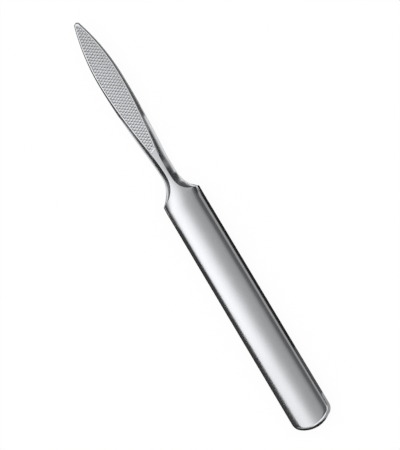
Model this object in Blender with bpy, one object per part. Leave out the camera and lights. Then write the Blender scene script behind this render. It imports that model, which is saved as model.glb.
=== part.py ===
# Bone file for surgery, made from one piece of stainless steel.
# A leaf-shaped blade with a cross-cut flat face runs through a slim neck into a flat, crowned handle.
#
# Shape coordinates: "along" is the distance from the blade's tip, "across" the distance from the
# centre line, and heights are measured from the surface that the handle's back rests on.
# In the scene the tip points to +Y, the toothed face looks up (+Z) and the back rests on Z = 0.

import math

import bmesh
import bpy
from mathutils import Vector

MM = 0.001

# Blade outline
TIP_RADIUS = 1.3 * MM
BLADE_WIDTH = 10.3 * MM
TIP_TO_WIDEST = 27.0 * MM
WIDEST_TO_NECK = 42.0 * MM

# Neck and shoulder
NECK_WIDTH = 6.4 * MM
NECK_SWEEP_RADIUS = 120.0 * MM
SCOOP_RADIUS = 12.8 * MM

# Handle outline
HANDLE_WIDTH = 16.3 * MM
HANDLE_LENGTH = 100.9 * MM
BUTT_CORNER_RADIUS = 4.1 * MM
BUTT_END_RADIUS = 10.6 * MM

# Handle section
HANDLE_THICKNESS = 6.0 * MM
CROWN_RADIUS = 32.0 * MM
EDGE_RADIUS = 2.1 * MM
BUTT_EDGE_WIDTH = 1.45 * MM
BACK_LAND_WIDTH = 3.6 * MM

# Face of the blade: a flat that starts just under the handle's top and falls towards the neck
FACE_DROP_AT_TIP = 0.1 * MM
FACE_TILT = math.radians(1.6)
FACE_END_TO_NECK = 8.0 * MM
NECK_FACE_DROP = 2.5 * MM
SHOULDER_RISE_LENGTH = 14.0 * MM

# Thickness of the blade and the neck
TIP_THICKNESS = 0.9 * MM
WIDEST_THICKNESS = 1.7 * MM
NECK_THICKNESS = 3.2 * MM

# Rounded flank between the face's edge and the widest line: its width and its depth
TIP_FLANK_WIDTH = 0.42 * MM
WIDEST_FLANK_WIDTH = 0.75 * MM
NECK_FLANK_WIDTH = 2.45 * MM
TIP_FLANK_DEPTH = 0.38 * MM
WIDEST_FLANK_DEPTH = 0.8 * MM
NECK_FLANK_DEPTH = 1.9 * MM
SHOULDER_FLANK_TAPER = 1.0
FACE_EDGE_ANGLE = math.radians(33.0)

# Flat keel left along the half-round back, from the tip to the neck
TIP_KEEL_WIDTH = 0.3 * MM
NECK_KEEL_WIDTH = 1.6 * MM

# Cross-cut teeth: two sets of V grooves over the flat face
FIRST_CUT_ANGLE = math.radians(52.6)
FIRST_CUT_PITCH = 1.10 * MM
FIRST_CUT_DEPTH = 0.27 * MM
SECOND_CUT_ANGLE = math.radians(67.9)
SECOND_CUT_PITCH = 1.00 * MM
SECOND_CUT_DEPTH = 0.29 * MM
TOOTH_LAND = 0.17 * MM
GROOVE_LEAN = 0.12
HEEL_TO_NECK = 11.6 * MM
PLAIN_TIP = 1.6 * MM
FIRST_CUT_RIM = 0.30 * MM
SECOND_CUT_RIM = 0.36 * MM
FIRST_CUT_RUN_OUT = 0.1 * MM
CUTTER_HEIGHT = 1.2 * MM

# Number of flat pieces along curves
FLANK_STEPS = 4
CROWN_STEPS = 3

STEEL_COLOUR = (0.62, 0.62, 0.63, 1.0)
STEEL_ROUGHNESS = 0.28

# Places along the tool
WIDEST = TIP_TO_WIDEST
NECK = WIDEST + WIDEST_TO_NECK
FACE_END = NECK - FACE_END_TO_NECK
HEEL = NECK - HEEL_TO_NECK
HANDLE_FULL = NECK + SHOULDER_RISE_LENGTH
SHOULDER_REACH = math.sqrt(SCOOP_RADIUS**2 - (SCOOP_RADIUS - (HANDLE_WIDTH - NECK_WIDTH) / 2)**2)
SHOULDER = NECK + SHOULDER_REACH
LENGTH = SHOULDER + HANDLE_LENGTH

# The handle's crown runs out to where its round edges start
EDGE_START = HANDLE_WIDTH / 2 - EDGE_RADIUS
EDGE_SLOPE = math.asin(EDGE_START / CROWN_RADIUS)


def curve_through(stations):
    """A smooth curve through (along, value, slope) stations, as a function of the distance along."""
    def value_at(along):
        if along <= stations[0][0]:
            return stations[0][1] + stations[0][2] * (along - stations[0][0])
        for (a, value_a, slope_a), (b, value_b, slope_b) in zip(stations, stations[1:]):
            if along <= b:
                run = b - a
                t = (along - a) / run
                return ((2 * t**3 - 3 * t**2 + 1) * value_a + (t**3 - 2 * t**2 + t) * run * slope_a
                        + (3 * t**2 - 2 * t**3) * value_b + (t**3 - t**2) * run * slope_b)
        return stations[-1][1]
    return value_at


def rise(start, end):
    """The average slope between two (along, value) points."""
    return (end[1] - start[1]) / (end[0] - start[0])


def face_plane(along):
    """Height of the blade's flat face."""
    return HANDLE_THICKNESS - FACE_DROP_AT_TIP - along * math.tan(FACE_TILT)


# Height of the top along the centre line: flat face, low neck, rise to the handle
top_height = curve_through([
    (FACE_END, face_plane(FACE_END), -math.tan(FACE_TILT)),
    (NECK, HANDLE_THICKNESS - NECK_FACE_DROP, 0.0),
    (HANDLE_FULL, HANDLE_THICKNESS, 0.0),
])

UNDER_TIP = (0.0, face_plane(0.0) - TIP_THICKNESS)
UNDER_WIDEST = (WIDEST, face_plane(WIDEST) - WIDEST_THICKNESS)
UNDER_NECK = (NECK, HANDLE_THICKNESS - NECK_FACE_DROP - NECK_THICKNESS)

# Height of the underside along the centre line
under_height = curve_through([
    (*UNDER_TIP, rise(UNDER_TIP, UNDER_WIDEST)),
    (*UNDER_WIDEST, rise(UNDER_TIP, UNDER_NECK)),
    (*UNDER_NECK, rise(UNDER_WIDEST, (HANDLE_FULL, 0.0)) / 2),
    (HANDLE_FULL, 0.0, 0.0),
])

# The flank widens up to the neck, and runs out to nothing at the shoulder's corner
flank_width = curve_through([
    (0.0, TIP_FLANK_WIDTH, 0.0),
    (WIDEST, WIDEST_FLANK_WIDTH, (WIDEST_FLANK_WIDTH - TIP_FLANK_WIDTH) / WIDEST),
    (NECK, NECK_FLANK_WIDTH, 0.0),
    (SHOULDER, 0.0, -SHOULDER_FLANK_TAPER),
])

# The handle's round edge narrows evenly towards the butt
handle_edge_width = curve_through([
    (SHOULDER, EDGE_RADIUS, (BUTT_EDGE_WIDTH - EDGE_RADIUS) / HANDLE_LENGTH),
    (LENGTH, BUTT_EDGE_WIDTH, (BUTT_EDGE_WIDTH - EDGE_RADIUS) / HANDLE_LENGTH),
])

flank_depth = curve_through([
    (0.0, TIP_FLANK_DEPTH, (WIDEST_FLANK_DEPTH - TIP_FLANK_DEPTH) / WIDEST),
    (WIDEST, WIDEST_FLANK_DEPTH, (WIDEST_FLANK_DEPTH - TIP_FLANK_DEPTH) / WIDEST),
    (NECK, NECK_FLANK_DEPTH, 0.0),
    (HANDLE_FULL, EDGE_RADIUS, 0.0),
])

keel_half = curve_through([
    (0.0, TIP_KEEL_WIDTH / 2, 0.0),
    (NECK, NECK_KEEL_WIDTH / 2, 0.0),
])

back_flank_width = curve_through([
    (NECK, (NECK_WIDTH - NECK_KEEL_WIDTH) / 2, 0.0),
    (SHOULDER, 0.0, -SHOULDER_FLANK_TAPER),
])

# Shares that grow from none to all: the handle's crown, and its upright wall
crown_share = curve_through([(FACE_END, 0.0, 0.0), (NECK, 1.0, 0.0)])
wall_share = curve_through([(NECK, 0.0, 0.0), (HANDLE_FULL, 1.0, 0.0)])


def crown_drop(across):
    """How far the handle's crowned face falls below its middle."""
    return CROWN_RADIUS - math.sqrt(CROWN_RADIUS**2 - across**2)


# Height of the upright wall that is left between the handle's round edges
HANDLE_WALL = HANDLE_THICKNESS - 2 * EDGE_RADIUS - 2 * crown_drop(EDGE_START)


def top_surface(along, across):
    return top_height(along) - crown_share(along) * crown_drop(across)


def under_surface(along, across):
    land = BACK_LAND_WIDTH / 2
    if abs(across) <= land:
        return under_height(along)
    return under_height(along) + crown_share(along) * (crown_drop(across) - crown_drop(land))


def arc(centre, radius, start, end, steps):
    """Outline points on an arc, each as (along, across, angle of its outward normal from the tip's).

    A negative radius makes a hollow arc, whose outward normal points at its centre."""
    points = []
    for step in range(steps + 1):
        angle = start + (end - start) * step / steps
        points.append((centre[0] - radius * math.cos(angle), centre[1] + radius * math.sin(angle), angle))
    return points


def half_outlines():
    """The right half of the plan outline: tip to the shoulder's corner, and from there to the butt."""
    half_blade = BLADE_WIDTH / 2
    half_neck = NECK_WIDTH / 2
    half_handle = HANDLE_WIDTH / 2
    quarter = math.pi / 2

    # The front arc of the leaf touches the tip's circle and is widest at WIDEST
    front_radius = (((WIDEST - TIP_RADIUS)**2 + half_blade**2 - TIP_RADIUS**2)
                    / (BLADE_WIDTH - 2 * TIP_RADIUS))
    tip_end = math.acos((WIDEST - TIP_RADIUS) / (front_radius - TIP_RADIUS))

    # The rear arc of the leaf flows into the hollow sweep of the neck
    drop = half_blade - half_neck
    both_radii = (WIDEST_TO_NECK**2 + drop**2) / (2 * drop)
    rear_radius = both_radii - NECK_SWEEP_RADIUS
    turn = math.asin(WIDEST_TO_NECK / both_radii)
    face_end_turn = math.asin(FACE_END_TO_NECK / NECK_SWEEP_RADIUS)

    # The scoop is cut in up to the handle's side, which leaves a sharp corner
    scoop_end = math.asin((half_neck + SCOOP_RADIUS - half_handle) / SCOOP_RADIUS)

    # The butt's end arc touches its two corner arcs
    corner_offset = half_handle - BUTT_CORNER_RADIUS
    centre_gap = BUTT_END_RADIUS - BUTT_CORNER_RADIUS
    butt_corner_centre = (LENGTH - BUTT_END_RADIUS + math.sqrt(centre_gap**2 - corner_offset**2),
                          corner_offset)
    butt_turn = math.pi - math.asin(corner_offset / centre_gap)

    neck_centre = (NECK, half_neck + NECK_SWEEP_RADIUS)
    blade = [
        arc((TIP_RADIUS, 0.0), TIP_RADIUS, 0.0, tip_end, 5),
        arc((WIDEST, half_blade - front_radius), front_radius, tip_end, quarter, 9),
        arc((WIDEST, half_blade - rear_radius), rear_radius, quarter, quarter + turn, 7),
        arc(neck_centre, -NECK_SWEEP_RADIUS, quarter + turn, quarter + face_end_turn, 3),
        arc(neck_centre, -NECK_SWEEP_RADIUS, quarter + face_end_turn, quarter, 3),
        arc((NECK, half_neck + SCOOP_RADIUS), -SCOOP_RADIUS, quarter, scoop_end, 8),
    ]
    handle = [
        [(SHOULDER, half_handle, quarter)],
        arc(butt_corner_centre, BUTT_CORNER_RADIUS, quarter, butt_turn, 5),
        arc((LENGTH - BUTT_END_RADIUS, 0.0), BUTT_END_RADIUS, butt_turn, math.pi, 4),
    ]
    return chain(blade), chain(handle)


def chain(pieces):
    """Join pieces of the outline end to end."""
    outline = pieces[0]
    for piece in pieces[1:]:
        same_place = math.dist(outline[-1][:2], piece[0][:2]) < 0.001 * MM
        outline = outline + (piece[1:] if same_place else piece)
    return outline


def place(along, across, height):
    """From shape coordinates to the scene's."""
    return Vector((across, LENGTH / 2 - along, height))


def round_share(step):
    """Share of a rounded edge's width at one of its points, which lie closer together where it is steep."""
    return 1 - (1 - step / FLANK_STEPS)**2


def round_fall(share, width, fall, start_slope):
    """How far an edge has fallen at a share of its width, on a curve from its start slope to upright."""
    if share > 0.999999:
        return fall
    bend = min(width * math.tan(start_slope), 0.9 * abs(fall))
    weight = math.cos((math.pi / 2 - start_slope) / 2)
    steep = math.sqrt(weight**2 + share / (1 - share)) - weight
    fallen = 2 * weight * steep * math.copysign(bend, fall) + steep**2 * fall
    return fallen / (1 + 2 * weight * steep + steep**2)


def flank_points(outer, inner, inner_height, outer_height, start_slope):
    """Points on the rounded flank, which leaves its inner edge at a slope and ends upright."""
    width = math.dist(outer, inner)
    fall = outer_height - inner_height
    points = []
    for step in range(FLANK_STEPS + 1):
        share = round_share(step)
        points.append((inner[0] + (outer[0] - inner[0]) * share,
                       inner[1] + (outer[1] - inner[1]) * share,
                       inner_height + round_fall(share, width, fall, start_slope)))
    return points


def crown_points(surface, along, start, end, crown_end, steps, edge_depth, edge_slope):
    """Points across a crowned surface, out to its flank.

    Where a scoop cuts into the handle's round edge, the last of them run down that edge."""
    points = []
    for step in range(steps):
        x = start + (crown_end - start) * step / steps
        points.append((along, x, surface(along, x)))
    for step in range(FLANK_STEPS + 1):
        x = crown_end + (end - crown_end) * round_share(step)
        fall = round_fall((x - crown_end) / EDGE_RADIUS, EDGE_RADIUS, edge_depth, edge_slope)
        points.append((along, x, surface(along, crown_end) + fall))
    return points


def half_section(station, on_handle):
    """One cut through the right half, from the middle of the top round to the middle of the underside."""
    along, across, angle = station
    if on_handle:
        width = handle_edge_width(along)
        back_width = EDGE_RADIUS
    elif along > NECK:
        width = flank_width(along)
        back_width = back_flank_width(along)
    else:
        width = flank_width(along)
        back_width = max(across, TIP_RADIUS) - keel_half(along)
    outer = (along, across)
    top_edge = (along + math.cos(angle) * width, across - math.sin(angle) * width)
    under_edge = (along + math.cos(angle) * back_width, across - math.sin(angle) * back_width)

    # The crown ends at the flank or, in a scoop, no further out than where the handle's round edge starts
    top_end = top_edge[1] if on_handle else min(top_edge[1], EDGE_START)
    under_end = under_edge[1] if on_handle else min(under_edge[1], EDGE_START)
    upper_line = top_surface(top_edge[0], top_end) - flank_depth(along)
    lower_line = upper_line - wall_share(along) * HANDLE_WALL
    under_depth = lower_line - under_surface(under_edge[0], under_end)
    under_slope = wall_share(along) * math.asin(under_end / CROWN_RADIUS)
    top_slope = math.asin(top_end / CROWN_RADIUS) * math.sin(angle) if on_handle else FACE_EDGE_ANGLE

    top = crown_points(top_surface, top_edge[0], 0.0, top_edge[1], top_end, CROWN_STEPS,
                       -flank_depth(along), EDGE_SLOPE)
    under = crown_points(under_surface, under_edge[0], min(BACK_LAND_WIDTH / 2, under_end), under_edge[1],
                         under_end, CROWN_STEPS - 1, under_depth, under_slope)
    middle = (under_edge[0], 0.0, under_surface(under_edge[0], 0.0))
    top_flank = flank_points(outer, top_edge, top[-1][2], upper_line, top_slope)
    under_flank = flank_points(outer, under_edge, under[-1][2], lower_line, under_slope * math.sin(angle))
    return top[:-1] + top_flank + under_flank[::-1] + under[-2::-1] + [middle]


class Shell:
    """A mesh under construction, whose equal points are shared."""

    def __init__(self):
        self.mesh = bmesh.new()
        self.known = {}

    def point(self, position):
        key = tuple(round(value / (0.0001 * MM)) for value in position)
        if key not in self.known:
            self.known[key] = self.mesh.verts.new(position)
        return self.known[key]

    def face(self, positions):
        """Add a face, leaving out repeated points, and nothing where fewer than three are left."""
        corners = []
        for position in positions:
            vertex = self.point(position)
            if vertex not in corners:
                corners.append(vertex)
        if len(corners) >= 3:
            self.mesh.faces.new(corners)


def make_body():
    """The whole tool before its teeth are cut."""
    shell = Shell()
    blade, handle = half_outlines()
    blade_rows = [[place(*point) for point in half_section(station, False)] for station in blade]
    handle_rows = [[place(*point) for point in half_section(station, True)] for station in handle]

    # On the flat face the strips beside the centre line are left to one large face
    flat_rows = [row for row in blade_rows if LENGTH / 2 - row[0].y <= FACE_END + 0.01 * MM]
    first_flank = CROWN_STEPS + FLANK_STEPS

    def mirrored(position):
        return Vector((-position.x, position.y, position.z))

    for rows in (blade_rows, handle_rows):
        for row, following in zip(rows, rows[1:]):
            on_face = any(following is flat for flat in flat_rows)
            for column in range(len(row) - 1):
                if on_face and column < first_flank:
                    continue
                corners = (row[column], following[column], following[column + 1], row[column + 1])
                shell.face(corners)
                shell.face([mirrored(corner) for corner in reversed(corners)])

    heel = flat_rows[-1]
    right = [row[first_flank] for row in flat_rows]
    across_heel = heel[first_flank - 1:0:-1] + [heel[0]] + [mirrored(p) for p in heel[1:first_flank]]
    shell.face(right + across_heel + [mirrored(position) for position in reversed(right)])

    bmesh.ops.recalc_face_normals(shell.mesh, faces=shell.mesh.faces)
    return shell.mesh


def make_tooth_field(rim):
    """An upright block over the flat face, which leaves a plain rim along the face's edges."""
    right = []
    for along, across, angle in half_outlines()[0]:
        inset = flank_width(along) + rim
        if TIP_RADIUS / 2 < along <= FACE_END:
            right.append((along + math.cos(angle) * inset, across - math.sin(angle) * inset))
    plan = right + [(along, -across) for along, across in reversed(right)]

    mesh = bmesh.new()
    rings = []
    for height in (face_plane(FACE_END) - CUTTER_HEIGHT, HANDLE_THICKNESS + CUTTER_HEIGHT):
        rings.append([mesh.verts.new(place(along, across, height)) for along, across in plan])
    for index in range(len(plan)):
        following = (index + 1) % len(plan)
        mesh.faces.new((rings[0][index], rings[0][following], rings[1][following], rings[1][index]))
    mesh.faces.new(rings[0])
    mesh.faces.new(rings[1])
    bmesh.ops.recalc_face_normals(mesh, faces=mesh.faces)
    return mesh


def face_frame():
    """The point where the teeth end on the centre line, and the face's own axes there."""
    origin = place(HEEL, 0.0, face_plane(HEEL))
    towards_butt = Vector((0.0, -math.cos(FACE_TILT), -math.sin(FACE_TILT)))
    across = Vector((1.0, 0.0, 0.0))
    outward = across.cross(-towards_butt)
    return origin, towards_butt, across, outward


def make_comb(groove, spacing, pitch, depth, land, sweeps, length):
    """A cutter with V teeth in a row, swept along the direction of its grooves.

    The row runs from the heel towards the tip along -spacing, and the sweep along -groove."""
    origin, _, _, outward = face_frame()
    half_groove = (pitch - land) / 2
    ridge = depth * (pitch / 2 - half_groove) / half_groove
    reach = math.ceil(length / pitch)
    profile = []
    for number in range(-1, reach):
        valley = number * pitch
        profile.append((valley - pitch / 2, ridge))
        profile.append((valley - GROOVE_LEAN * pitch, -depth))
    profile.append((reach * pitch - pitch / 2, ridge))
    profile.append((profile[-1][0], CUTTER_HEIGHT))
    profile.append((profile[0][0], CUTTER_HEIGHT))

    mesh = bmesh.new()
    ends = []
    for sweep in sweeps:
        ends.append([mesh.verts.new(origin - spacing * run - groove * sweep + outward * height)
                     for run, height in profile])
    mesh.faces.new(ends[0])
    mesh.faces.new(list(reversed(ends[1])))
    count = len(profile)
    for index in range(count):
        following = (index + 1) % count
        mesh.faces.new((ends[0][following], ends[0][index], ends[1][index], ends[1][following]))
    bmesh.ops.recalc_face_normals(mesh, faces=mesh.faces)
    return mesh


def add_object(name, mesh, material=None):
    data = bpy.data.meshes.new(name)
    mesh.to_mesh(data)
    mesh.free()
    thing = bpy.data.objects.new(name, data)
    bpy.context.scene.collection.objects.link(thing)
    if material:
        data.materials.append(material)
    return thing


def add_cutters():
    """The two combs that cut the teeth, kept inside the tooth field, hidden and drawn as wires."""
    _, towards_butt, across, _ = face_frame()
    first = towards_butt * math.cos(FIRST_CUT_ANGLE) + across * math.sin(FIRST_CUT_ANGLE)
    second = towards_butt * math.cos(SECOND_CUT_ANGLE) - across * math.sin(SECOND_CUT_ANGLE)
    crossing = math.sin(FIRST_CUT_ANGLE + SECOND_CUT_ANGLE)

    # The toothed field, from the heel to the plain tip, measured along each set's own direction
    run = HEEL - PLAIN_TIP
    along_second = run * math.sin(FIRST_CUT_ANGLE) / crossing
    along_first = run * math.sin(SECOND_CUT_ANGLE) / crossing
    overhang = BLADE_WIDTH

    combs = [
        make_comb(first, second, FIRST_CUT_PITCH / crossing, FIRST_CUT_DEPTH, TOOTH_LAND,
                  (-FIRST_CUT_RUN_OUT, along_first + overhang), along_second),
        make_comb(second, first, SECOND_CUT_PITCH / crossing, SECOND_CUT_DEPTH, TOOTH_LAND,
                  (-overhang, along_second + overhang), along_first),
    ]
    fields = [add_object("first_tooth_field", make_tooth_field(FIRST_CUT_RIM)),
              add_object("second_tooth_field", make_tooth_field(SECOND_CUT_RIM))]
    cutters = [add_object(name, mesh) for name, mesh in zip(("first_cut_comb", "second_cut_comb"), combs)]
    for cutter, field in zip(cutters, fields):
        kept = cutter.modifiers.new("tooth_field", 'BOOLEAN')
        kept.operation = 'INTERSECT'
        kept.solver = 'EXACT'
        kept.object = field
    for hidden in fields + cutters:
        hidden.hide_render = True
        hidden.display_type = 'WIRE'
    return cutters


def steel():
    material = bpy.data.materials.new("stainless_steel")
    material.use_nodes = True
    shader = material.node_tree.nodes["Principled BSDF"]
    shader.inputs["Base Color"].default_value = STEEL_COLOUR
    shader.inputs["Metallic"].default_value = 1.0
    shader.inputs["Roughness"].default_value = STEEL_ROUGHNESS
    return material


def main():
    for thing in list(bpy.data.objects):
        bpy.data.objects.remove(thing)
    bone_file = add_object("bone_file", make_body(), steel())
    for cutter in add_cutters():
        cut = bone_file.modifiers.new(cutter.name, 'BOOLEAN')
        cut.operation = 'DIFFERENCE'
        cut.solver = 'EXACT'
        cut.object = cutter
    bone_file.data.shade_smooth()
    bone_file.data.set_sharp_from_angle(angle=math.radians(30.0))


main()
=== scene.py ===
# Looks of a one-piece surgical bone file: satin stainless steel with a cross-cut toothed face.
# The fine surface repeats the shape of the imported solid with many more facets.
#
# Shape coordinates: "along" is the distance from the blade's tip, "across" the distance from the
# centre line, and heights are measured from the surface that the handle's back rests on.
# In the scene the tip points to +Y, the toothed face looks up (+Z) and the back rests on Z = 0.

import math

import bmesh
import bpy
from mathutils import Matrix, Vector


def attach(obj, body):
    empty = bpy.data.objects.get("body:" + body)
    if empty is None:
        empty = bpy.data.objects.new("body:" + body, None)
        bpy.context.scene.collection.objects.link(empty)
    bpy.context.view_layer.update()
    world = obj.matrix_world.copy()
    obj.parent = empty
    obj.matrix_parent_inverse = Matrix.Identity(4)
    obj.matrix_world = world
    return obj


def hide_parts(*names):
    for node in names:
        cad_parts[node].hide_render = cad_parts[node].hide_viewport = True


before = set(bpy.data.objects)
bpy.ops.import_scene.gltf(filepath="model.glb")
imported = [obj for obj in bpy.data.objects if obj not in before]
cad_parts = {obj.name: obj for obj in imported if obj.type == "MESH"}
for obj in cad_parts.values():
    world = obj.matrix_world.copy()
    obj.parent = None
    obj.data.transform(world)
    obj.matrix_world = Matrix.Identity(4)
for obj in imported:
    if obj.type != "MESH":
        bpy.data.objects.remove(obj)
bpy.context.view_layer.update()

MM = 0.001
NODE = "bone_file"

# Blade outline
TIP_RADIUS = 1.3 * MM
BLADE_WIDTH = 10.3 * MM
TIP_TO_WIDEST = 27.0 * MM
WIDEST_TO_NECK = 42.0 * MM

# Neck and shoulder
NECK_WIDTH = 6.4 * MM
NECK_SWEEP_RADIUS = 120.0 * MM
SCOOP_RADIUS = 12.8 * MM

# Handle outline
HANDLE_WIDTH = 16.3 * MM
HANDLE_LENGTH = 100.9 * MM
BUTT_CORNER_RADIUS = 4.1 * MM
BUTT_END_RADIUS = 10.6 * MM

# Handle section
HANDLE_THICKNESS = 6.0 * MM
CROWN_RADIUS = 32.0 * MM
EDGE_RADIUS = 2.1 * MM
BUTT_EDGE_WIDTH = 1.45 * MM
BACK_LAND_WIDTH = 3.6 * MM

# Face of the blade: a flat that starts just under the handle's top and falls towards the neck
FACE_DROP_AT_TIP = 0.1 * MM
FACE_TILT = math.radians(1.6)
FACE_END_TO_NECK = 8.0 * MM
NECK_FACE_DROP = 2.5 * MM
SHOULDER_RISE_LENGTH = 14.0 * MM

# Thickness of the blade and the neck
TIP_THICKNESS = 0.9 * MM
WIDEST_THICKNESS = 1.7 * MM
NECK_THICKNESS = 3.2 * MM

# Rounded flank between the face's edge and the widest line: its width and its depth
TIP_FLANK_WIDTH = 0.42 * MM
WIDEST_FLANK_WIDTH = 0.75 * MM
NECK_FLANK_WIDTH = 2.45 * MM
TIP_FLANK_DEPTH = 0.38 * MM
WIDEST_FLANK_DEPTH = 0.8 * MM
NECK_FLANK_DEPTH = 1.9 * MM
SHOULDER_FLANK_TAPER = 1.0
FACE_EDGE_ANGLE = math.radians(33.0)

# Flat keel left along the half-round back, from the tip to the neck
TIP_KEEL_WIDTH = 0.3 * MM
NECK_KEEL_WIDTH = 1.6 * MM

# Cross-cut teeth: two sets of V grooves over the flat face
FIRST_CUT_ANGLE = math.radians(52.6)
FIRST_CUT_PITCH = 1.10 * MM
FIRST_CUT_DEPTH = 0.27 * MM
SECOND_CUT_ANGLE = math.radians(67.9)
SECOND_CUT_PITCH = 1.00 * MM
SECOND_CUT_DEPTH = 0.29 * MM
TOOTH_LAND = 0.17 * MM
GROOVE_LEAN = 0.12
HEEL_TO_NECK = 11.6 * MM
PLAIN_TIP = 1.6 * MM
FIRST_CUT_RIM = 0.30 * MM
SECOND_CUT_RIM = 0.36 * MM
FIRST_CUT_RUN_OUT = 0.1 * MM
CUTTER_HEIGHT = 1.2 * MM

# Fine facets: pieces along the flank's round, pieces over the crown, and how many times finer the
# outline is
FLANK_STEPS = 12
CROWN_STEPS = 8
OUTLINE_FINENESS = 4

# Places along the tool
WIDEST = TIP_TO_WIDEST
NECK = WIDEST + WIDEST_TO_NECK
FACE_END = NECK - FACE_END_TO_NECK
HEEL = NECK - HEEL_TO_NECK
HANDLE_FULL = NECK + SHOULDER_RISE_LENGTH
SHOULDER_REACH = math.sqrt(SCOOP_RADIUS**2 - (SCOOP_RADIUS - (HANDLE_WIDTH - NECK_WIDTH) / 2)**2)
SHOULDER = NECK + SHOULDER_REACH
LENGTH = SHOULDER + HANDLE_LENGTH

# The handle's crown runs out to where its round edges start
EDGE_START = HANDLE_WIDTH / 2 - EDGE_RADIUS
EDGE_SLOPE = math.asin(EDGE_START / CROWN_RADIUS)


def curve_through(stations):
    """A smooth curve through (along, value, slope) stations, as a function of the distance along."""
    def value_at(along):
        if along <= stations[0][0]:
            return stations[0][1] + stations[0][2] * (along - stations[0][0])
        for (a, value_a, slope_a), (b, value_b, slope_b) in zip(stations, stations[1:]):
            if along <= b:
                run = b - a
                t = (along - a) / run
                return ((2 * t**3 - 3 * t**2 + 1) * value_a + (t**3 - 2 * t**2 + t) * run * slope_a
                        + (3 * t**2 - 2 * t**3) * value_b + (t**3 - t**2) * run * slope_b)
        return stations[-1][1]
    return value_at


def rise(start, end):
    """The average slope between two (along, value) points."""
    return (end[1] - start[1]) / (end[0] - start[0])


def face_plane(along):
    """Height of the blade's flat face."""
    return HANDLE_THICKNESS - FACE_DROP_AT_TIP - along * math.tan(FACE_TILT)


# Height of the top along the centre line: flat face, low neck, rise to the handle
top_height = curve_through([
    (FACE_END, face_plane(FACE_END), -math.tan(FACE_TILT)),
    (NECK, HANDLE_THICKNESS - NECK_FACE_DROP, 0.0),
    (HANDLE_FULL, HANDLE_THICKNESS, 0.0),
])

UNDER_TIP = (0.0, face_plane(0.0) - TIP_THICKNESS)
UNDER_WIDEST = (WIDEST, face_plane(WIDEST) - WIDEST_THICKNESS)
UNDER_NECK = (NECK, HANDLE_THICKNESS - NECK_FACE_DROP - NECK_THICKNESS)

# Height of the underside along the centre line
under_height = curve_through([
    (*UNDER_TIP, rise(UNDER_TIP, UNDER_WIDEST)),
    (*UNDER_WIDEST, rise(UNDER_TIP, UNDER_NECK)),
    (*UNDER_NECK, rise(UNDER_WIDEST, (HANDLE_FULL, 0.0)) / 2),
    (HANDLE_FULL, 0.0, 0.0),
])

# The flank widens up to the neck, and runs out to nothing at the shoulder's corner
flank_width = curve_through([
    (0.0, TIP_FLANK_WIDTH, 0.0),
    (WIDEST, WIDEST_FLANK_WIDTH, (WIDEST_FLANK_WIDTH - TIP_FLANK_WIDTH) / WIDEST),
    (NECK, NECK_FLANK_WIDTH, 0.0),
    (SHOULDER, 0.0, -SHOULDER_FLANK_TAPER),
])

# The handle's round edge narrows evenly towards the butt
handle_edge_width = curve_through([
    (SHOULDER, EDGE_RADIUS, (BUTT_EDGE_WIDTH - EDGE_RADIUS) / HANDLE_LENGTH),
    (LENGTH, BUTT_EDGE_WIDTH, (BUTT_EDGE_WIDTH - EDGE_RADIUS) / HANDLE_LENGTH),
])

flank_depth = curve_through([
    (0.0, TIP_FLANK_DEPTH, (WIDEST_FLANK_DEPTH - TIP_FLANK_DEPTH) / WIDEST),
    (WIDEST, WIDEST_FLANK_DEPTH, (WIDEST_FLANK_DEPTH - TIP_FLANK_DEPTH) / WIDEST),
    (NECK, NECK_FLANK_DEPTH, 0.0),
    (HANDLE_FULL, EDGE_RADIUS, 0.0),
])

keel_half = curve_through([
    (0.0, TIP_KEEL_WIDTH / 2, 0.0),
    (NECK, NECK_KEEL_WIDTH / 2, 0.0),
])

back_flank_width = curve_through([
    (NECK, (NECK_WIDTH - NECK_KEEL_WIDTH) / 2, 0.0),
    (SHOULDER, 0.0, -SHOULDER_FLANK_TAPER),
])

# Shares that grow from none to all: the handle's crown, and its upright wall
crown_share = curve_through([(FACE_END, 0.0, 0.0), (NECK, 1.0, 0.0)])
wall_share = curve_through([(NECK, 0.0, 0.0), (HANDLE_FULL, 1.0, 0.0)])


def crown_drop(across):
    """How far the handle's crowned face falls below its middle."""
    return CROWN_RADIUS - math.sqrt(CROWN_RADIUS**2 - across**2)


# Height of the upright wall that is left between the handle's round edges
HANDLE_WALL = HANDLE_THICKNESS - 2 * EDGE_RADIUS - 2 * crown_drop(EDGE_START)


def top_surface(along, across):
    return top_height(along) - crown_share(along) * crown_drop(across)


def under_surface(along, across):
    land = BACK_LAND_WIDTH / 2
    if abs(across) <= land:
        return under_height(along)
    return under_height(along) + crown_share(along) * (crown_drop(across) - crown_drop(land))


def arc(centre, radius, start, end, steps):
    """Outline points on an arc, each as (along, across, angle of its outward normal from the tip's).

    A negative radius makes a hollow arc, whose outward normal points at its centre."""
    points = []
    for step in range(steps + 1):
        angle = start + (end - start) * step / steps
        points.append((centre[0] - radius * math.cos(angle), centre[1] + radius * math.sin(angle), angle))
    return points


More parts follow.
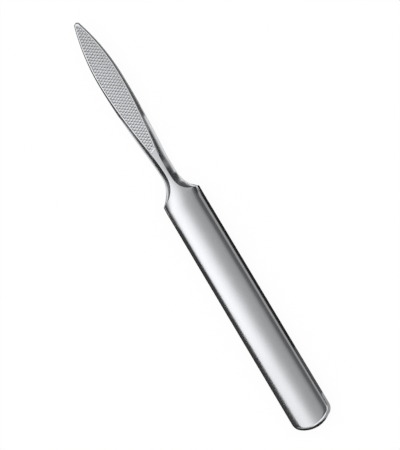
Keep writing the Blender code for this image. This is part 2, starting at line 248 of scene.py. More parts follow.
def half_outlines():
    """The right half of the plan outline: tip to the shoulder's corner, and from there to the butt."""
    half_blade = BLADE_WIDTH / 2
    half_neck = NECK_WIDTH / 2
    half_handle = HANDLE_WIDTH / 2
    quarter = math.pi / 2

    # The front arc of the leaf touches the tip's circle and is widest at WIDEST
    front_radius = (((WIDEST - TIP_RADIUS)**2 + half_blade**2 - TIP_RADIUS**2)
                    / (BLADE_WIDTH - 2 * TIP_RADIUS))
    tip_end = math.acos((WIDEST - TIP_RADIUS) / (front_radius - TIP_RADIUS))

    # The rear arc of the leaf flows into the hollow sweep of the neck
    drop = half_blade - half_neck
    both_radii = (WIDEST_TO_NECK**2 + drop**2) / (2 * drop)
    rear_radius = both_radii - NECK_SWEEP_RADIUS
    turn = math.asin(WIDEST_TO_NECK / both_radii)
    face_end_turn = math.asin(FACE_END_TO_NECK / NECK_SWEEP_RADIUS)

    # The scoop is cut in up to the handle's side, which leaves a sharp corner. The handle's top
    # goes on rising for a short way past it.
    scoop_end = math.asin((half_neck + SCOOP_RADIUS - half_handle) / SCOOP_RADIUS)

    # The butt's end arc touches its two corner arcs
    corner_offset = half_handle - BUTT_CORNER_RADIUS
    centre_gap = BUTT_END_RADIUS - BUTT_CORNER_RADIUS
    butt_corner_centre = (LENGTH - BUTT_END_RADIUS + math.sqrt(centre_gap**2 - corner_offset**2),
                          corner_offset)
    butt_turn = math.pi - math.asin(corner_offset / centre_gap)

    neck_centre = (NECK, half_neck + NECK_SWEEP_RADIUS)
    fine = OUTLINE_FINENESS
    blade = [
        arc((TIP_RADIUS, 0.0), TIP_RADIUS, 0.0, tip_end, 4 * fine),
        arc((WIDEST, half_blade - front_radius), front_radius, tip_end, quarter, 9 * fine),
        arc((WIDEST, half_blade - rear_radius), rear_radius, quarter, quarter + turn, 7 * fine),
        arc(neck_centre, -NECK_SWEEP_RADIUS, quarter + turn, quarter + face_end_turn, 3 * fine),
        arc(neck_centre, -NECK_SWEEP_RADIUS, quarter + face_end_turn, quarter, 4 * fine),
        arc((NECK, half_neck + SCOOP_RADIUS), -SCOOP_RADIUS, quarter, scoop_end, 8 * fine),
    ]
    rise_steps = 2 * fine
    handle = [
        [(SHOULDER + (HANDLE_FULL - SHOULDER) * step / rise_steps, half_handle, quarter)
         for step in range(rise_steps + 1)],
        arc(butt_corner_centre, BUTT_CORNER_RADIUS, quarter, butt_turn, 5 * fine),
        arc((LENGTH - BUTT_END_RADIUS, 0.0), BUTT_END_RADIUS, butt_turn, math.pi, 5 * fine),
    ]
    return chain(blade), chain(handle)


def chain(pieces):
    """Join pieces of the outline end to end."""
    outline = pieces[0]
    for piece in pieces[1:]:
        same_place = math.dist(outline[-1][:2], piece[0][:2]) < 0.001 * MM
        outline = outline + (piece[1:] if same_place else piece)
    return outline


def place(along, across, height):
    """From shape coordinates to the scene's."""
    return Vector((across, LENGTH / 2 - along, height))


def round_share(step):
    """Share of a rounded edge's width at one of its points, which lie closer together where it is steep."""
    return 1 - (1 - step / FLANK_STEPS)**2


def round_fall(share, width, fall, start_slope):
    """How far an edge has fallen at a share of its width, on a curve from its start slope to upright."""
    if share > 0.999999:
        return fall
    bend = min(width * math.tan(start_slope), 0.9 * abs(fall))
    weight = math.cos((math.pi / 2 - start_slope) / 2)
    steep = math.sqrt(weight**2 + share / (1 - share)) - weight
    fallen = 2 * weight * steep * math.copysign(bend, fall) + steep**2 * fall
    return fallen / (1 + 2 * weight * steep + steep**2)


def flank_points(outer, inner, inner_height, outer_height, start_slope):
    """Points on the rounded flank, which leaves its inner edge at a slope and ends upright."""
    width = math.dist(outer, inner)
    fall = outer_height - inner_height
    points = []
    for step in range(FLANK_STEPS + 1):
        share = round_share(step)
        points.append((inner[0] + (outer[0] - inner[0]) * share,
                       inner[1] + (outer[1] - inner[1]) * share,
                       inner_height + round_fall(share, width, fall, start_slope)))
    return points


def crown_points(surface, along, start, end, crown_end, steps, edge_depth, edge_slope):
    """Points across a crowned surface, out to its flank.

    Where a scoop cuts into the handle's round edge, the last of them run down that edge."""
    points = []
    for step in range(steps):
        x = start + (crown_end - start) * step / steps
        points.append((along, x, surface(along, x)))
    for step in range(FLANK_STEPS + 1):
        x = crown_end + (end - crown_end) * round_share(step)
        fall = round_fall((x - crown_end) / EDGE_RADIUS, EDGE_RADIUS, edge_depth, edge_slope)
        points.append((along, x, surface(along, crown_end) + fall))
    return points


def half_section(station, on_handle):
    """One cut through the right half, from the middle of the top round to the middle of the underside."""
    along, across, angle = station
    if on_handle:
        width = handle_edge_width(along)
        back_width = EDGE_RADIUS
    elif along > NECK:
        width = flank_width(along)
        back_width = back_flank_width(along)
    else:
        width = flank_width(along)
        back_width = max(across, TIP_RADIUS) - keel_half(along)
    outer = (along, across)
    top_edge = (along + math.cos(angle) * width, across - math.sin(angle) * width)
    under_edge = (along + math.cos(angle) * back_width, across - math.sin(angle) * back_width)

    # The crown ends at the flank or, in a scoop, no further out than where the handle's round edge starts
    top_end = top_edge[1] if on_handle else min(top_edge[1], EDGE_START)
    under_end = under_edge[1] if on_handle else min(under_edge[1], EDGE_START)
    upper_line = top_surface(top_edge[0], top_end) - flank_depth(along)
    lower_line = upper_line - wall_share(along) * HANDLE_WALL
    under_depth = lower_line - under_surface(under_edge[0], under_end)
    under_slope = wall_share(along) * math.asin(under_end / CROWN_RADIUS)
    top_slope = math.asin(top_end / CROWN_RADIUS) * math.sin(angle) if on_handle else FACE_EDGE_ANGLE

    top = crown_points(top_surface, top_edge[0], 0.0, top_edge[1], top_end, CROWN_STEPS,
                       -flank_depth(along), EDGE_SLOPE)
    under = crown_points(under_surface, under_edge[0], min(BACK_LAND_WIDTH / 2, under_end), under_edge[1],
                         under_end, CROWN_STEPS - 1, under_depth, under_slope)
    middle = (under_edge[0], 0.0, under_surface(under_edge[0], 0.0))
    top_flank = flank_points(outer, top_edge, top[-1][2], upper_line, top_slope)
    under_flank = flank_points(outer, under_edge, under[-1][2], lower_line, under_slope * math.sin(angle))
    return top[:-1] + top_flank + under_flank[::-1] + under[-2::-1] + [middle]


class Shell:
    """A mesh under construction, whose equal points are shared."""

    def __init__(self):
        self.mesh = bmesh.new()
        self.known = {}

    def point(self, position):
        key = tuple(round(value / (0.0001 * MM)) for value in position)
        if key not in self.known:
            self.known[key] = self.mesh.verts.new(position)
        return self.known[key]

    def face(self, positions):
        """Add a face, leaving out repeated points, and nothing where fewer than three are left."""
        corners = []
        for position in positions:
            vertex = self.point(position)
            if vertex not in corners:
                corners.append(vertex)
        if len(corners) >= 3:
            self.mesh.faces.new(corners)


def make_body():
    """The whole tool before its teeth are cut."""
    shell = Shell()
    blade, handle = half_outlines()
    blade_rows = [[place(*point) for point in half_section(station, False)] for station in blade]
    handle_rows = [[place(*point) for point in half_section(station, True)] for station in handle]

    # On the flat face the strips beside the centre line are left to one large face
    flat_rows = [row for row in blade_rows if LENGTH / 2 - row[0].y <= FACE_END + 0.01 * MM]
    first_flank = CROWN_STEPS + FLANK_STEPS

    def mirrored(position):
        return Vector((-position.x, position.y, position.z))

    for rows in (blade_rows, handle_rows):
        for row, following in zip(rows, rows[1:]):
            on_face = any(following is flat for flat in flat_rows)
            for column in range(len(row) - 1):
                if on_face and column < first_flank:
                    continue
                corners = (row[column], following[column], following[column + 1], row[column + 1])
                shell.face(corners)
                shell.face([mirrored(corner) for corner in reversed(corners)])

    heel = flat_rows[-1]
    right = [row[first_flank] for row in flat_rows]
    across_heel = heel[first_flank - 1:0:-1] + [heel[0]] + [mirrored(p) for p in heel[1:first_flank]]
    shell.face(right + across_heel + [mirrored(position) for position in reversed(right)])

    bmesh.ops.recalc_face_normals(shell.mesh, faces=shell.mesh.faces)
    return shell.mesh


def make_tooth_field(rim):
    """An upright block over the flat face, which leaves a plain rim along the face's edges."""
    right = []
    for along, across, angle in half_outlines()[0]:
        inset = flank_width(along) + rim
        if TIP_RADIUS / 2 < along <= FACE_END:
            right.append((along + math.cos(angle) * inset, across - math.sin(angle) * inset))
    plan = right + [(along, -across) for along, across in reversed(right)]

    mesh = bmesh.new()
    rings = []
    for height in (face_plane(FACE_END) - CUTTER_HEIGHT, HANDLE_THICKNESS + CUTTER_HEIGHT):
        rings.append([mesh.verts.new(place(along, across, height)) for along, across in plan])
    for index in range(len(plan)):
        following = (index + 1) % len(plan)
        mesh.faces.new((rings[0][index], rings[0][following], rings[1][following], rings[1][index]))
    mesh.faces.new(rings[0])
    mesh.faces.new(rings[1])
    bmesh.ops.recalc_face_normals(mesh, faces=mesh.faces)
    return mesh


def face_frame():
    """The point where the teeth end on the centre line, and the face's own axes there."""
    origin = place(HEEL, 0.0, face_plane(HEEL))
    towards_butt = Vector((0.0, -math.cos(FACE_TILT), -math.sin(FACE_TILT)))
    across = Vector((1.0, 0.0, 0.0))
    outward = across.cross(-towards_butt)
    return origin, towards_butt, across, outward


def make_comb(groove, spacing, pitch, depth, land, sweeps, length):
    """A cutter with V teeth in a row, swept along the direction of its grooves.

    The row runs from the heel towards the tip along -spacing, and the sweep along -groove."""
    origin, _, _, outward = face_frame()
    half_groove = (pitch - land) / 2
    ridge = depth * (pitch / 2 - half_groove) / half_groove
    reach = math.ceil(length / pitch)
    profile = []
    for number in range(-1, reach):
        valley = number * pitch
        profile.append((valley - pitch / 2, ridge))
        profile.append((valley - GROOVE_LEAN * pitch, -depth))
    profile.append((reach * pitch - pitch / 2, ridge))
    profile.append((profile[-1][0], CUTTER_HEIGHT))
    profile.append((profile[0][0], CUTTER_HEIGHT))

    mesh = bmesh.new()
    ends = []
    for sweep in sweeps:
        ends.append([mesh.verts.new(origin - spacing * run - groove * sweep + outward * height)
                     for run, height in profile])
    mesh.faces.new(ends[0])
    mesh.faces.new(list(reversed(ends[1])))
    count = len(profile)
    for index in range(count):
        following = (index + 1) % count
        mesh.faces.new((ends[0][following], ends[0][index], ends[1][index], ends[1][following]))
    bmesh.ops.recalc_face_normals(mesh, faces=mesh.faces)
    return mesh


def add_object(name, mesh):
    data = bpy.data.meshes.new(name)
    mesh.to_mesh(data)
    mesh.free()
    thing = bpy.data.objects.new(name, data)
    bpy.context.scene.collection.objects.link(thing)
    return thing


def add_combs():
    """The two combs that cut the teeth."""
    _, towards_butt, across, _ = face_frame()
    first = towards_butt * math.cos(FIRST_CUT_ANGLE) + across * math.sin(FIRST_CUT_ANGLE)
    second = towards_butt * math.cos(SECOND_CUT_ANGLE) - across * math.sin(SECOND_CUT_ANGLE)
    crossing = math.sin(FIRST_CUT_ANGLE + SECOND_CUT_ANGLE)

    # The toothed field, from the heel to the plain tip, measured along each set's own direction
    run = HEEL - PLAIN_TIP
    along_second = run * math.sin(FIRST_CUT_ANGLE) / crossing
    along_first = run * math.sin(SECOND_CUT_ANGLE) / crossing
    overhang = BLADE_WIDTH

    first_comb = make_comb(first, second, FIRST_CUT_PITCH / crossing, FIRST_CUT_DEPTH, TOOTH_LAND,
                           (-FIRST_CUT_RUN_OUT, along_first + overhang), along_second)
    second_comb = make_comb(second, first, SECOND_CUT_PITCH / crossing, SECOND_CUT_DEPTH, TOOTH_LAND,
                            (-overhang, along_second + overhang), along_first)
    return [add_object("first_cut_comb", first_comb), add_object("second_cut_comb", second_comb)]


def cut_teeth(body):
    """Cut the combs out of the body and keep the result as its mesh."""
    combs = add_combs()
    fields = [add_object("first_tooth_field", make_tooth_field(FIRST_CUT_RIM)),
              add_object("second_tooth_field", make_tooth_field(SECOND_CUT_RIM))]
    for comb, field in zip(combs, fields):
        kept = comb.modifiers.new("tooth_field", 'BOOLEAN')
        kept.operation = 'INTERSECT'
        kept.solver = 'EXACT'
        kept.object = field
        cut = body.modifiers.new(comb.name, 'BOOLEAN')
        cut.operation = 'DIFFERENCE'
        cut.solver = 'EXACT'
        cut.object = comb
    evaluated = body.evaluated_get(bpy.context.evaluated_depsgraph_get())
    body.data = bpy.data.meshes.new_from_object(evaluated)
    body.modifiers.clear()
    for cutter in fields + combs:
        bpy.data.objects.remove(cutter)


# Marks on the facets, for the material: walls of the grooves, and the plain face round the teeth, which
# gets a painted highlight
CUT_MARK = "cut"
RIM_MARK = "rim"
LEVEL_WITHIN = math.radians(5.0)
STEEPEST_WALL = 0.6
LEAST_DEPTH = 0.001 * MM
BROAD_FACET = 2 * FIRST_CUT_PITCH * SECOND_CUT_PITCH


def mark_facets(mesh):
    """Mark the walls that the combs left, and the one broad facet that the teeth stand inside."""
    cut = mesh.attributes.new(CUT_MARK, 'FLOAT', 'FACE')
    rim = mesh.attributes.new(RIM_MARK, 'FLOAT', 'FACE')
    deepest = max(FIRST_CUT_DEPTH, SECOND_CUT_DEPTH)
    for facet in mesh.polygons:
        along = LENGTH / 2 - facet.center.y
        depth = face_plane(along) - facet.center.z
        on_blade = PLAIN_TIP / 2 < along < FACE_END
        level = facet.normal.z > math.cos(LEVEL_WITHIN)
        in_groove = LEAST_DEPTH < depth < deepest and facet.normal.z > STEEPEST_WALL
        cut.data[facet.index].value = float(on_blade and in_groove and not level)
        rim.data[facet.index].value = float(on_blade and level and facet.area > BROAD_FACET)


# Where a noise between 0 and 1 mostly lies
NOISE_LOW = 0.3
NOISE_HIGH = 0.7


class Nodes:
    """Short calls for building a node tree. A value is a constant or another node's output."""

    def __init__(self, tree):
        self.tree = tree

    def add(self, kind, **settings):
        node = self.tree.nodes.new(kind)
        for name, value in settings.items():
            setattr(node, name, value)
        return node

    def join(self, source, target):
        self.tree.links.new(source, target)

    def feed(self, value, socket):
        """Set a socket to a constant, or join another node's output to it."""
        if isinstance(value, (int, float, tuple)):
            socket.default_value = value
        else:
            self.join(value, socket)

    def noise(self, vector, scale, detail, grain):
        node = self.add('ShaderNodeTexNoise')
        node.inputs['Scale'].default_value = scale
        node.inputs['Detail'].default_value = detail
        node.inputs['Roughness'].default_value = grain
        self.join(vector, node.inputs['Vector'])
        return node.outputs['Fac']

    def stretch(self, vector, scale):
        node = self.add('ShaderNodeMapping')
        node.inputs['Scale'].default_value = scale
        self.join(vector, node.inputs['Vector'])
        return node.outputs['Vector']

    def split(self, vector):
        """A vector's X, Y and Z."""
        node = self.add('ShaderNodeSeparateXYZ')
        self.join(vector, node.inputs['Vector'])
        return node.outputs['X'], node.outputs['Y'], node.outputs['Z']

    def span(self, value, low, high, to_low, to_high):
        """Spread the range from low to high over another range, and stay within that."""
        node = self.add('ShaderNodeMapRange')
        self.join(value, node.inputs['Value'])
        node.inputs['From Min'].default_value = low
        node.inputs['From Max'].default_value = high
        node.inputs['To Min'].default_value = to_low
        node.inputs['To Max'].default_value = to_high
        return node.outputs['Result']

    def fade(self, value, edge):
        """A share that grows from none to all between an edge's start and its end."""
        start, end = edge
        return self.span(value, start, end, 0.0, 1.0)

    def swing(self, noise, middle, swing):
        """A noise's usual range, spread over a swing to both sides of a middle value."""
        return self.span(noise, NOISE_LOW, NOISE_HIGH, middle - swing, middle + swing)

    def blend(self, share, first, second, kind='FLOAT'):
        """From the first value to the second as the share grows; the kind of a colour is 'RGBA'."""
        node = self.add('ShaderNodeMix', data_type=kind)
        self.feed(share, node.inputs['Factor'])
        self.feed(first, node.inputs['A'])
        self.feed(second, node.inputs['B'])
        return node.outputs['Result']

    def math(self, operation, first, second):
        node = self.add('ShaderNodeMath', operation=operation)
        self.feed(first, node.inputs[0])
        self.feed(second, node.inputs[1])
        return node.outputs['Value']

    def vector_math(self, operation, *vectors):
        node = self.add('ShaderNodeVectorMath', operation=operation)
        for vector, socket in zip(vectors, node.inputs):
            self.join(vector, socket)
        return node.outputs['Vector']


# Satin stainless steel, with a brighter colour in the grooves, and a painted highlight on the rim round the
# teeth
STEEL_COLOUR = (0.655, 0.662, 0.682, 1.0)
CUT_COLOUR = (0.735, 0.742, 0.762, 1.0)
# The rim round the teeth is coloured much lighter: a painted highlight along the face's edges
RIM_HIGHLIGHT_COLOUR = (0.875, 0.882, 0.900, 1.0)
RIM_HIGHLIGHT_FADE = 1.0 * MM
STEEL_ROUGHNESS = 0.15
CUT_ROUGHNESS = 0.29

# Grinding lines along the tool: noise cells per metre across, along and upwards
LINE_CELLS = (9000.0, 160.0, 9000.0)
LINE_DETAIL = 3.0
LINE_GRAIN = 0.5
LINE_ROUGHNESS_SWING = 0.03
LINE_BUMP = 0.25
LINE_DEPTH = 0.004 * MM

# Faint clouds over the whole surface
CLOUD_CELLS = 90.0
CLOUD_DETAIL = 4.0
CLOUD_GRAIN = 0.6
CLOUD_TONE_SWING = 0.03
CLOUD_ROUGHNESS_SWING = 0.02

# Grinding leaves the blade's face a trace fuller along its middle, which only its shading shows
GROUND_FACE_RADIUS = 140.0 * MM

# Edges that turn more than this stay crisp
SHARP_ANGLE = math.radians(18.0)


def steel_material():
    """Stainless steel with grinding lines and faint clouds, brighter but less shiny in the grooves, with a
    painted highlight on the rim.
    """
    material = bpy.data.materials.new("satin_stainless_steel")
    material.use_nodes = True
    tree = Nodes(material.node_tree)
    shader = material.node_tree.nodes["Principled BSDF"]
    shader.inputs['Metallic'].default_value = 1.0

    position = tree.add('ShaderNodeTexCoord').outputs['Object']
    lines = tree.noise(tree.stretch(position, LINE_CELLS), 1.0, LINE_DETAIL, LINE_GRAIN)
    clouds = tree.noise(position, CLOUD_CELLS, CLOUD_DETAIL, CLOUD_GRAIN)
    cut = tree.add('ShaderNodeAttribute', attribute_name=CUT_MARK).outputs['Fac']
    rim = tree.add('ShaderNodeAttribute', attribute_name=RIM_MARK).outputs['Fac']
    x, y, _ = tree.split(position)

    # The rim's painted highlight lies beside the teeth only, and not on the plain heel
    heel = LENGTH / 2 - HEEL
    rim = tree.math('MULTIPLY', rim, tree.fade(y, (heel, heel + RIM_HIGHLIGHT_FADE)))
    colour = tree.blend(cut, STEEL_COLOUR, CUT_COLOUR, 'RGBA')
    tone = tree.add('ShaderNodeHueSaturation')
    tree.join(tree.blend(rim, colour, RIM_HIGHLIGHT_COLOUR, 'RGBA'), tone.inputs['Color'])
    tree.join(tree.swing(clouds, 1.0, CLOUD_TONE_SWING), tone.inputs['Value'])
    tree.join(tone.outputs['Color'], shader.inputs['Base Color'])

    rough = tree.swing(lines, STEEL_ROUGHNESS, LINE_ROUGHNESS_SWING)
    rough = tree.math('ADD', rough, tree.swing(clouds, 0.0, CLOUD_ROUGHNESS_SWING))
    rough = tree.math('ADD', rough, tree.math('MULTIPLY', cut, CUT_ROUGHNESS - STEEL_ROUGHNESS))
    tree.join(rough, shader.inputs['Roughness'])

    # The fullness of the blade's face leans its shading outwards, and runs out along the neck
    on_face = tree.fade(y, (LENGTH / 2 - NECK, LENGTH / 2 - FACE_END))
    lean = tree.add('ShaderNodeCombineXYZ')
    tree.join(tree.math('MULTIPLY', tree.math('DIVIDE', x, GROUND_FACE_RADIUS), on_face), lean.inputs['X'])
    normal = tree.add('ShaderNodeNewGeometry').outputs['Normal']
    leaning = tree.vector_math('ADD', normal, lean.outputs['Vector'])

    bump = tree.add('ShaderNodeBump')
    bump.inputs['Strength'].default_value = LINE_BUMP
    bump.inputs['Distance'].default_value = LINE_DEPTH
    tree.join(lines, bump.inputs['Height'])
    tree.join(tree.vector_math('NORMALIZE', leaning), bump.inputs['Normal'])
    tree.join(bump.outputs['Normal'], shader.inputs['Normal'])
    return material


def make_bone_file():
    """The one piece of the object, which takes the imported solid's place."""
    body = add_object("bone_file_surface", make_body())
    cut_teeth(body)
    mark_facets(body.data)
    body.data.shade_smooth()
    body.data.set_sharp_from_angle(angle=SHARP_ANGLE)
    body.data.materials.clear()
    body.data.materials.append(steel_material())
    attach(body, "root")
    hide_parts(NODE)


# White paper under the tool. It shows as plain white, but for a share that keeps the tool's shadow
FLOOR_SIZE = 3.0
FLOOR_GAP = 0.02 * MM
PAPER_COLOUR = (0.85, 0.85, 0.85, 1.0)
SHOWN_AS_WHITE = 0.93

# The world lights the paper, and is plain white to the camera
WHITE = (1.0, 1.0, 1.0, 1.0)
WORLD_LEVEL = 1.18

# The light dome over the tool. Along the tool's sides its brightness goes by the angle from straight
# up, in degrees, negative to the left of the tool. Over the two ends it has a level of its own.
DOME_RADIUS = 1.2
DOME_LEVELS = [
    (-90.0, 0.03),
    (-78.0, 0.04),
    (-62.0, 0.10),
    (-50.0, 0.19),
    (-41.5, 0.40),
    (-38.5, 0.93),
    (-36.0, 1.52),
    (-30.0, 1.52),
    (-24.0, 1.37),
    (-18.0, 1.07),
    (-13.0, 0.75),
    (-8.0, 0.56),
    (-3.0, 0.49),
    (3.2, 0.47),
    (7.2, 0.13),
    (30.0, 0.15),
    (44.0, 0.10),
    (49.0, 0.03),
    (57.0, 0.03),
    (61.0, 0.80),
    (66.0, 1.05),
    (78.0, 1.05),
    (90.0, 0.60),
]
HORIZON_LEVEL = 0.06

# Places on the dome are shares of its radius: run towards the tip, across to the right, and height.
# An edge is where a zone starts to fade in, and where it is full. The lower edge of the light over
# an end is given in multiples of the light's lowest height.
LOWER_EDGE = (0.8, 1.2)

# The light on the left is weaker towards the butt
LEFT_LIGHT_AT_BUTT = 0.78
WEAKER_EDGE = (0.08, 0.0)
LEFT_LIGHT_EDGE = (math.radians(-20.0), math.radians(-30.0))

# Over the tip the lowest part is dark, with a lighter patch higher up. Right of the tip it is the
# other way round, light below and dark above.
TIP_EDGE = (0.30, 0.45)
LOWEST_TIP_LIGHT = math.sin(math.radians(34.0))
TIP_PATCH_LEVEL = 0.75
TIP_PATCH_ACROSS_EDGE = (-0.10, 0.05)
TIP_PATCH_RUN_EDGE = (0.55, 0.65)
RIGHT_OF_TIP_LEVEL = 1.0
RIGHT_OF_TIP_EDGE = (0.28, 0.38)
RIGHT_OF_TIP_ACROSS_EDGE = (0.25, 0.40)
RIGHT_OF_TIP_DARK_EDGE = (0.27, 0.35)

# Over the butt the light reaches lower on the right, and is weaker far out on the left. The zone's
# edge runs askew, so that it reaches less far forward on the right.
BUTT_LEVEL = 1.30
BUTT_EDGE = (-0.45, -0.60)
BUTT_SKEW = 0.35
LOWEST_BUTT_LIGHT = math.sin(math.radians(20.0))
LOWEST_RIGHT_BUTT_LIGHT = math.sin(math.radians(8.0))
RIGHT_BUTT_EDGE = (0.0, 0.15)
LEFT_BUTT_LEVEL = 0.55
LEFT_BUTT_EDGE = (-0.25, -0.50)

# Cards that lie beside the tool and show only in its flanks, as its dark outline
BLACK_LEVEL = 0.02
DARK_LEVEL = 0.10
GREY_LEVEL = 0.42
CARD_REACH = 300.0 * MM
CARD_HEIGHT = 0.05 * MM
BLADE_CARD_GAP = 5.0 * MM
BLADE_CARD_TO_WIDEST = 12.0 * MM
RIGHT_CARD_TO_BUTT = 10.0 * MM
RIGHT_CARD_DARKEST_TO_BUTT = 30.0 * MM
LEFT_CARD_BEYOND_SHOULDER = 8.0 * MM
RIGHT_CARD_BEYOND_SHOULDER = 4.0 * MM

# Upright cards to the right of the tool: a dim reflector over a black card, seen in the handle's
# right edge, and nearer in a dark card, seen in the blade's
REFLECTOR_DISTANCE = 40.0 * MM
REFLECTOR_HEIGHT = 42.0 * MM
REFLECTOR_LOW = 9.0 * MM
REFLECTOR_BEYOND_SHOULDER = 12.0 * MM
UPRIGHT_BLADE_DISTANCE = 20.0 * MM
UPRIGHT_BLADE_HEIGHT = 24.0 * MM
UPRIGHT_BLADE_LOW = 7.0 * MM
UPRIGHT_BLADE_TO_WIDEST = 17.0 * MM

# An upright card to the left of the handle. It rises towards the butt, where the dark band along
# that edge is wider.
UPRIGHT_LEFT_LEVEL = 0.055
UPRIGHT_LEFT_DISTANCE = 20.0 * MM
UPRIGHT_LEFT_LENGTH = 94.0 * MM
UPRIGHT_LEFT_LOW_END = 21.0 * MM
UPRIGHT_LEFT_HIGH_END = 27.2 * MM


def empty_material(name):
    """A material with only an output, its tree, and the output's surface."""
    material = bpy.data.materials.new(name)
    material.use_nodes = True
    material.node_tree.nodes.clear()
    tree = Nodes(material.node_tree)
    return material, tree, tree.add('ShaderNodeOutputMaterial').inputs['Surface']


def light_material(name, level):
    """White light of one brightness."""
    material, tree, surface = empty_material(name)
    light = tree.add('ShaderNodeEmission')
    light.inputs['Color'].default_value = WHITE
    light.inputs['Strength'].default_value = level
    tree.join(light.outputs['Emission'], surface)
    return material


def floor_material():
    """White paper: shown white to the camera and in reflections, with a little of its own shading."""
    material, tree, surface = empty_material("white_floor")
    paper = tree.add('ShaderNodeBsdfDiffuse')
    paper.inputs['Color'].default_value = PAPER_COLOUR
    white = tree.add('ShaderNodeEmission')
    white.inputs['Strength'].default_value = 1.0
    path = tree.add('ShaderNodeLightPath')
    shown = tree.math('MAXIMUM', path.outputs['Is Camera Ray'], path.outputs['Is Glossy Ray'])
    shown = tree.math('MAXIMUM', shown, path.outputs['Is Transmission Ray'])
    mix = tree.add('ShaderNodeMixShader')
    tree.join(tree.math('MULTIPLY', shown, SHOWN_AS_WHITE), mix.inputs['Fac'])
    tree.join(paper.outputs['BSDF'], mix.inputs[1])
    tree.join(white.outputs['Emission'], mix.inputs[2])
    tree.join(mix.outputs['Shader'], surface)
    return material


def levels_along_sides(tree, angle):
    """The table's brightness at an angle from straight up."""
    ramp = tree.add('ShaderNodeValToRGB')
    brightest = max(level for _, level in DOME_LEVELS)
    stops = ramp.color_ramp.elements
    while len(stops) < len(DOME_LEVELS):
        stops.new(0.5)
    for stop, (degrees, level) in zip(stops, DOME_LEVELS):
        share = level / brightest
        stop.position = (degrees + 90.0) / 180.0
        stop.color = (share, share, share, 1.0)
    tree.join(tree.fade(angle, (-math.pi / 2, math.pi / 2)), ramp.inputs['Fac'])
    return tree.math('MULTIPLY', ramp.outputs['Color'], brightest)


def dome_material():
    """Light whose brightness goes by the place on the dome."""
    material, tree, surface = empty_material("light_dome")
    position = tree.add('ShaderNodeTexCoord').outputs['Object']
    across, run, height = tree.split(tree.stretch(position, (1 / DOME_RADIUS,) * 3))
    angle = tree.math('ARCTAN2', across, height)

    def both(first, second):
        return tree.math('MULTIPLY', first, second)

    def lit_above(lowest, level):
        """Dark like the horizon below a height, and at a level above it."""
        return tree.blend(tree.fade(tree.math('DIVIDE', height, lowest), LOWER_EDGE), HORIZON_LEVEL, level)

    weaker = both(tree.fade(angle, LEFT_LIGHT_EDGE), tree.fade(run, WEAKER_EDGE))
    sides = both(levels_along_sides(tree, angle), tree.blend(weaker, 1.0, LEFT_LIGHT_AT_BUTT))

    patch = both(tree.fade(across, TIP_PATCH_ACROSS_EDGE), tree.fade(run, TIP_PATCH_RUN_EDGE))
    tip = lit_above(LOWEST_TIP_LIGHT, tree.blend(patch, sides, TIP_PATCH_LEVEL))
    right_of_tip = tree.blend(tree.fade(height, RIGHT_OF_TIP_DARK_EDGE), RIGHT_OF_TIP_LEVEL, HORIZON_LEVEL)
    right = tree.fade(across, RIGHT_OF_TIP_ACROSS_EDGE)
    near_tip = tree.blend(right, tree.fade(run, TIP_EDGE), tree.fade(run, RIGHT_OF_TIP_EDGE))
    level = tree.blend(near_tip, sides, tree.blend(right, tip, right_of_tip))

    lowest = tree.blend(tree.fade(across, RIGHT_BUTT_EDGE), LOWEST_BUTT_LIGHT, LOWEST_RIGHT_BUTT_LIGHT)
    butt = lit_above(lowest, tree.blend(tree.fade(across, LEFT_BUTT_EDGE), BUTT_LEVEL, LEFT_BUTT_LEVEL))
    near_butt = tree.fade(tree.math('ADD', run, both(across, BUTT_SKEW)), BUTT_EDGE)

    light = tree.add('ShaderNodeEmission')
    tree.join(tree.blend(near_butt, level, butt), light.inputs['Strength'])
    tree.join(light.outputs['Emission'], surface)
    return material


def show_in_reflections_only(thing):
    thing.visible_camera = False
    thing.visible_diffuse = False
    thing.visible_shadow = False


def make_dome():
    """The upper half of a sphere, with the tool at its centre."""
    mesh = bmesh.new()
    bmesh.ops.create_uvsphere(mesh, u_segments=96, v_segments=48, radius=DOME_RADIUS)
    below = [vertex for vertex in mesh.verts if vertex.co.z < -0.001 * DOME_RADIUS]
    bmesh.ops.delete(mesh, geom=below, context='VERTS')
    dome = add_object("light_dome", mesh)
    dome.data.shade_smooth()
    dome.data.materials.append(dome_material())
    show_in_reflections_only(dome)


def add_quad(name, corners, material):
    """A stage surface with four corners."""
    mesh = bmesh.new()
    mesh.faces.new([mesh.verts.new(corner) for corner in corners])
    quad = add_object(name, mesh)
    quad.data.materials.append(material)
    return quad


def add_level_quad(name, left, right, start, end, height, material):
    """A level surface between a left and a right side, from its end by the butt to its other end."""
    return add_quad(name, [(left, start, height), (right, start, height),
                           (right, end, height), (left, end, height)], material)


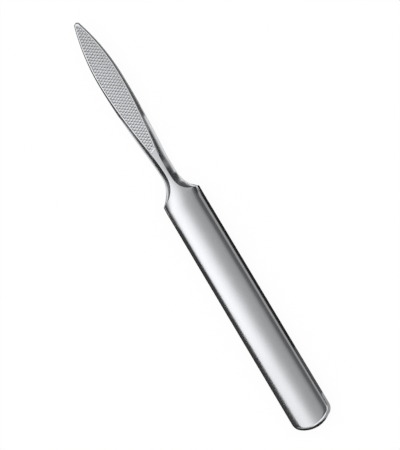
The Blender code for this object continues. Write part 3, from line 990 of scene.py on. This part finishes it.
def make_cards():
    """Cards that lie close to the tool, and the upright ones beside it."""
    black = light_material("black_card", BLACK_LEVEL)
    dark = light_material("dark_card", DARK_LEVEL)
    grey = light_material("grey_card", GREY_LEVEL)
    left_grey = light_material("left_card", UPRIGHT_LEFT_LEVEL)
    butt = -LENGTH / 2
    shoulder = LENGTH / 2 - SHOULDER
    widest = LENGTH / 2 - WIDEST
    beyond_tip = LENGTH / 2 + CARD_REACH
    beyond_butt = butt - CARD_REACH
    right_start = butt + RIGHT_CARD_TO_BUTT
    darkest_start = butt + RIGHT_CARD_DARKEST_TO_BUTT
    left_end = shoulder + LEFT_CARD_BEYOND_SHOULDER
    right_end = shoulder + RIGHT_CARD_BEYOND_SHOULDER
    blade_start = widest - BLADE_CARD_TO_WIDEST
    far = EDGE_START + CARD_REACH
    for name, left, right, start, end, material in (
            ("handle_left", -far, -EDGE_START, butt, left_end, black),
            ("handle_right", EDGE_START, far, darkest_start, right_end, black),
            ("handle_right_by_butt", EDGE_START, far, right_start, darkest_start, dark),
            ("butt", -far, EDGE_START, beyond_butt, butt, black),
            ("butt_right", EDGE_START, far, beyond_butt, right_start, grey),
            ("tip", -CARD_REACH, BLADE_CARD_GAP, LENGTH / 2, beyond_tip, black),
            ("blade_left", -CARD_REACH, -BLADE_CARD_GAP, blade_start, beyond_tip, dark),
            ("blade_right", BLADE_CARD_GAP, CARD_REACH, blade_start, beyond_tip, dark)):
        card = add_level_quad("card_" + name, left, right, start, end, CARD_HEIGHT, material)
        show_in_reflections_only(card)

    # Each upright card stands at a place across, and has one top height at each of its ends
    reflector_end = shoulder + REFLECTOR_BEYOND_SHOULDER
    upright_blade_start = widest - UPRIGHT_BLADE_TO_WIDEST
    for name, x, low, start, start_top, end, end_top, material in (
            ("reflector", REFLECTOR_DISTANCE, REFLECTOR_LOW,
             butt, REFLECTOR_HEIGHT, reflector_end, REFLECTOR_HEIGHT, grey),
            ("under_reflector", REFLECTOR_DISTANCE, 0.0,
             butt, REFLECTOR_LOW, reflector_end, REFLECTOR_LOW, black),
            ("blade", UPRIGHT_BLADE_DISTANCE, UPRIGHT_BLADE_LOW,
             upright_blade_start, UPRIGHT_BLADE_HEIGHT, beyond_tip, UPRIGHT_BLADE_HEIGHT, dark),
            ("left", -UPRIGHT_LEFT_DISTANCE, 0.0,
             butt, UPRIGHT_LEFT_HIGH_END, butt + UPRIGHT_LEFT_LENGTH, UPRIGHT_LEFT_LOW_END, left_grey)):
        corners = [(x, start, low), (x, end, low), (x, end, end_top), (x, start, start_top)]
        card = add_quad("upright_" + name, corners, material)
        show_in_reflections_only(card)


def make_world():
    """Light from all round, plain white to the camera."""
    world = bpy.data.worlds.new("studio")
    bpy.context.scene.world = world
    world.use_nodes = True
    tree = Nodes(world.node_tree)
    background = world.node_tree.nodes["Background"]
    background.inputs['Color'].default_value = WHITE
    path = tree.add('ShaderNodeLightPath')
    tree.join(tree.blend(path.outputs['Is Camera Ray'], WORLD_LEVEL, 1.0), background.inputs['Strength'])


def make_stage():
    """The paper, the lights and the cards round the tool."""
    half = FLOOR_SIZE / 2
    add_level_quad("floor", -half, half, -half, half, -FLOOR_GAP, floor_material())
    make_dome()
    make_cards()
    make_world()


# Camera: above the tool and off to the right of the picture, rolled so that the tool leans
VIEW_TILT = math.radians(18.0)
TOOL_LEAN = math.radians(32.088)
CAMERA_DISTANCE = 745.0 * MM
PIXELS_PER_MM = 2.6404
PICTURE_WIDTH = 400
PICTURE_HEIGHT = 450
MIDDLE_PIXEL = (195.71, 221.18)
SENSOR = 36.0
NEAREST_SEEN = 0.01
FARTHEST_SEEN = 10.0


def make_camera():
    """Aim so that the middle of the handle's thickness, over the origin, falls on MIDDLE_PIXEL."""
    picture_right = Vector((math.cos(TOOL_LEAN), -math.sin(TOOL_LEAN), 0.0))
    backward = Vector((0.0, 0.0, 1.0)) * math.cos(VIEW_TILT) + picture_right * math.sin(VIEW_TILT)
    right = (picture_right - backward * picture_right.dot(backward)).normalized()
    up = backward.cross(right)
    aim_right = (PICTURE_WIDTH / 2 - MIDDLE_PIXEL[0]) / PIXELS_PER_MM * MM
    aim_down = (PICTURE_HEIGHT / 2 - MIDDLE_PIXEL[1]) / PIXELS_PER_MM * MM
    middle = Vector((0.0, 0.0, HANDLE_THICKNESS / 2))
    target = middle + right * aim_right - up * aim_down

    data = bpy.data.cameras.new("camera")
    data.sensor_width = SENSOR
    pixels_per_metre = PIXELS_PER_MM / MM
    data.lens = SENSOR * pixels_per_metre * CAMERA_DISTANCE / PICTURE_HEIGHT
    data.clip_start = NEAREST_SEEN
    data.clip_end = FARTHEST_SEEN
    camera = bpy.data.objects.new("camera", data)
    bpy.context.scene.collection.objects.link(camera)
    turn = Matrix((right, up, backward)).transposed().to_4x4()
    camera.matrix_world = Matrix.Translation(target + backward * CAMERA_DISTANCE) @ turn
    bpy.context.scene.camera = camera


make_bone_file()
make_stage()
make_camera()
bpy.context.scene.view_settings.view_transform = 'Standard'
